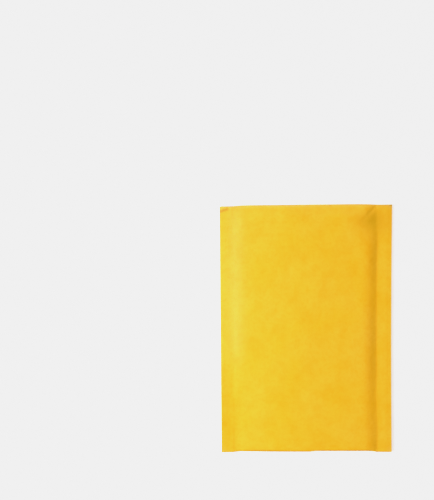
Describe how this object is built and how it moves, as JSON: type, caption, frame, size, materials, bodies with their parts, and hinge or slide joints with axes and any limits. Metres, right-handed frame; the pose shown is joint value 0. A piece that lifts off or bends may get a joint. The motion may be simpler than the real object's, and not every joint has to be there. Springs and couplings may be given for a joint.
{
  "type": "padded envelope",
  "caption": "Kraft paper mailer lined with bubble film, empty and closed, flap folded behind, lying on its back.",
  "frame": {"origin": "middle of the envelope's footprint, at the height of the surface that it lies on", "axes": "+X across the envelope towards its wide side seam, +Y along it towards the flap fold, +Z out of the smooth address side, which faces up"},
  "size_m": [0.165, 0.241, 0.006],
  "materials": {
    "kraft_paper": "matte",
    "bubble_film": "gloss",
    "adhesive": "satin",
    "release_paper": "satin"
  },
  "bodies": {
    "root": {"kraft_outer": "kraft_paper", "bubble_lining": "bubble_film", "adhesive_strip": "adhesive", "release_liner": "release_paper"}
  },
  "joints": []
}
